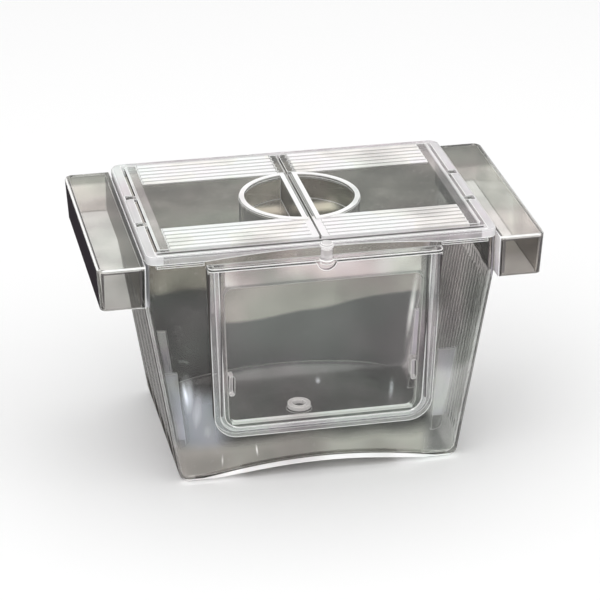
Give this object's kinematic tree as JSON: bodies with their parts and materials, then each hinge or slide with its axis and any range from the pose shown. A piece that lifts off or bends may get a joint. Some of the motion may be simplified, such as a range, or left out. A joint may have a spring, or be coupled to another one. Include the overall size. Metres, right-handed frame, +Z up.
{
  "type": "fish breeding box",
  "caption": "Clear tapered floating tank with hollow side floats, slotted side walls, a slide-up front door and a lid of hinged flaps with finger wells.",
  "frame": {"origin": "middle of the outline seen from above, on the plane that the two feet of the tank stand on", "axes": "+Z up out of the tank, -Y out through the front door, +X to the right seen from the door side"},
  "size_m": [0.2, 0.1178, 0.118],
  "materials": {
    "clear_tank": "clear, polished, with a faint grey tint",
    "clear_door": "clear, polished, with a faint grey tint",
    "clear_lid": "clear, polished, with a faint grey tint"
  },
  "bodies": {
    "box": {"tank": "clear_tank", "left_float": "clear_tank", "right_float": "clear_tank", "door_track": "clear_tank"},
    "door": {"front_door": "clear_door", "door_pull": "clear_door"},
    "lid": {"lid_frame": "clear_lid"},
    "flap_left": {"left_flap": "clear_lid"},
    "flap_right": {"right_flap": "clear_lid"}
  },
  "joints": [
    {"name": "lid_lift", "type": "slide", "parent": "box", "child": "lid", "axis": [0, 0, 1], "range_m": [0, 0.03]},
    {"name": "left_flap_hinge", "type": "hinge", "parent": "lid", "child": "flap_left", "pos_m": [-0.0754, 0.00319, 0.11415], "axis": [0, -1, 0], "range_deg": [0, 95]},
    {"name": "right_flap_hinge", "type": "hinge", "parent": "lid", "child": "flap_right", "pos_m": [0.0754, 0.00319, 0.11415], "axis": [0, 1, 0], "range_deg": [0, 95]},
    {"name": "door_slide", "type": "slide", "parent": "box", "child": "door", "axis": [0, -0.0344, 0.9994], "range_m": [0, 0.041]}
  ]
}
